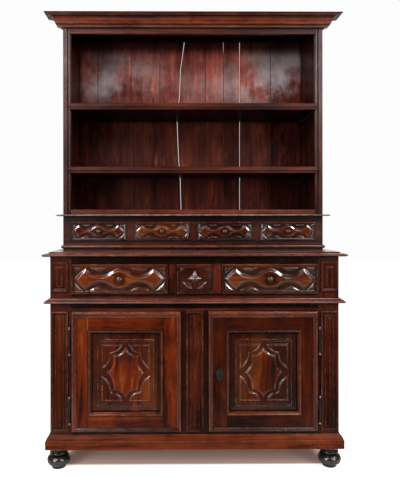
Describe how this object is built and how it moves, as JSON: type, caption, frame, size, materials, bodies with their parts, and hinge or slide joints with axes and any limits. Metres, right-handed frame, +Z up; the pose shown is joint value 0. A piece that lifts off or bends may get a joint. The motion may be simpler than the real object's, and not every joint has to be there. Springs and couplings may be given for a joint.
{
  "type": "dresser with open plate rack",
  "caption": "Antique joined walnut dresser: a panelled base with carved doors and drawers on bun feet, under an open plate rack with small drawers and a cornice.",
  "frame": {"origin": "on the floor under the middle of the bounding box", "axes": "+X to the right seen from the front, +Y to the back, +Z up; the front faces -Y"},
  "size_m": [1.456, 0.536, 2.202],
  "materials": {
    "walnut": "dark red-brown polish, worn at the edges",
    "carved_walnut": "polished carving, dark in the hollows",
    "inner_wood": "unpolished, dusty",
    "drawer_wood": "plain planed wood, aged",
    "back_boards": "dull stain, greyish wear",
    "ebonised_wood": "black polish",
    "aged_iron": "dark, rubbed on the high spots",
    "aged_bronze": "dark patina, rubbed bright"
  },
  "bodies": {
    "root": {"base_corner_posts": "walnut", "base_front_frame": "walnut", "base_side_rails": "walnut", "base_side_panels": "walnut", "worktop": "walnut", "plinth_moulding": "walnut", "waist_moulding": "walnut", "pilaster_frames": "walnut", "foot_collars": "walnut", "rack_case_front_frame": "walnut", "rack_sides": "walnut", "rack_stiles": "walnut", "rack_foot_bead": "walnut", "waist_board": "walnut", "shelf_mouldings": "walnut", "rack_shelves": "walnut", "rack_top_and_frieze": "walnut", "cornice": "walnut", "base_rear_rails": "inner_wood", "base_floor": "inner_wood", "base_shelf": "inner_wood", "base_drawer_runners": "inner_wood", "rack_case_floor_and_partitions": "inner_wood", "rack_back_boards": "back_boards", "base_back_boards": "back_boards", "bun_feet": "ebonised_wood", "hinge_pintles": "aged_iron"},
    "base_left_drawer": {"base_left_drawer_front": "carved_walnut", "base_left_drawer_box": "drawer_wood", "base_left_drawer_knob": "aged_bronze"},
    "base_centre_drawer": {"base_centre_drawer_front": "carved_walnut", "base_centre_drawer_box": "drawer_wood", "base_centre_drawer_knob": "aged_bronze"},
    "base_right_drawer": {"base_right_drawer_front": "carved_walnut", "base_right_drawer_box": "drawer_wood", "base_right_drawer_knob": "aged_bronze"},
    "rack_drawer_1": {"rack_drawer_1_front": "carved_walnut", "rack_drawer_1_box": "drawer_wood", "rack_drawer_1_knob": "aged_bronze"},
    "rack_drawer_2": {"rack_drawer_2_front": "carved_walnut", "rack_drawer_2_box": "drawer_wood", "rack_drawer_2_knob": "aged_bronze"},
    "rack_drawer_3": {"rack_drawer_3_front": "carved_walnut", "rack_drawer_3_box": "drawer_wood", "rack_drawer_3_knob": "aged_bronze"},
    "rack_drawer_4": {"rack_drawer_4_front": "carved_walnut", "rack_drawer_4_box": "drawer_wood", "rack_drawer_4_knob": "aged_bronze"},
    "left_door": {"left_door_frame": "walnut", "left_door_panel": "carved_walnut", "left_door_mouldings": "walnut", "left_hinge_knuckles": "aged_iron", "turn_button_screw": "aged_iron"},
    "right_door": {"right_door_frame": "walnut", "right_door_panel": "carved_walnut", "right_door_mouldings": "walnut", "right_hinge_knuckles": "aged_iron", "door_lock": "aged_iron"},
    "lock_bolt": {"lock_bolt": "aged_iron"},
    "turn_button": {"turn_button": "inner_wood"}
  },
  "joints": [
    {"name": "base_left_drawer_slide", "type": "slide", "parent": "root", "child": "base_left_drawer", "axis": [0, -1, 0], "range_m": [0, 0.3]},
    {"name": "base_centre_drawer_slide", "type": "slide", "parent": "root", "child": "base_centre_drawer", "axis": [0, -1, 0], "range_m": [0, 0.3]},
    {"name": "base_right_drawer_slide", "type": "slide", "parent": "root", "child": "base_right_drawer", "axis": [0, -1, 0], "range_m": [0, 0.3]},
    {"name": "rack_drawer_1_slide", "type": "slide", "parent": "root", "child": "rack_drawer_1", "axis": [0, -1, 0], "range_m": [0, 0.2]},
    {"name": "rack_drawer_2_slide", "type": "slide", "parent": "root", "child": "rack_drawer_2", "axis": [0, -1, 0], "range_m": [0, 0.2]},
    {"name": "rack_drawer_3_slide", "type": "slide", "parent": "root", "child": "rack_drawer_3", "axis": [0, -1, 0], "range_m": [0, 0.2]},
    {"name": "rack_drawer_4_slide", "type": "slide", "parent": "root", "child": "rack_drawer_4", "axis": [0, -1, 0], "range_m": [0, 0.2]},
    {"name": "left_door_hinge", "type": "hinge", "parent": "root", "child": "left_door", "pos_m": [-0.587, -0.2375, 0.45], "axis": [0, 0, -1], "range_deg": [0, 110]},
    {"name": "right_door_hinge", "type": "hinge", "parent": "root", "child": "right_door", "pos_m": [0.587, -0.2375, 0.45], "axis": [0, 0, 1], "range_deg": [0, 110]},
    {"name": "lock_bolt_slide", "type": "slide", "parent": "right_door", "child": "lock_bolt", "axis": [-1, 0, 0], "range_m": [0, 0.016]},
    {"name": "turn_button_pivot", "type": "hinge", "parent": "left_door", "child": "turn_button", "pos_m": [-0.086, -0.196, 0.47], "axis": [0, 1, 0], "range_deg": [-90, 90]}
  ]
}
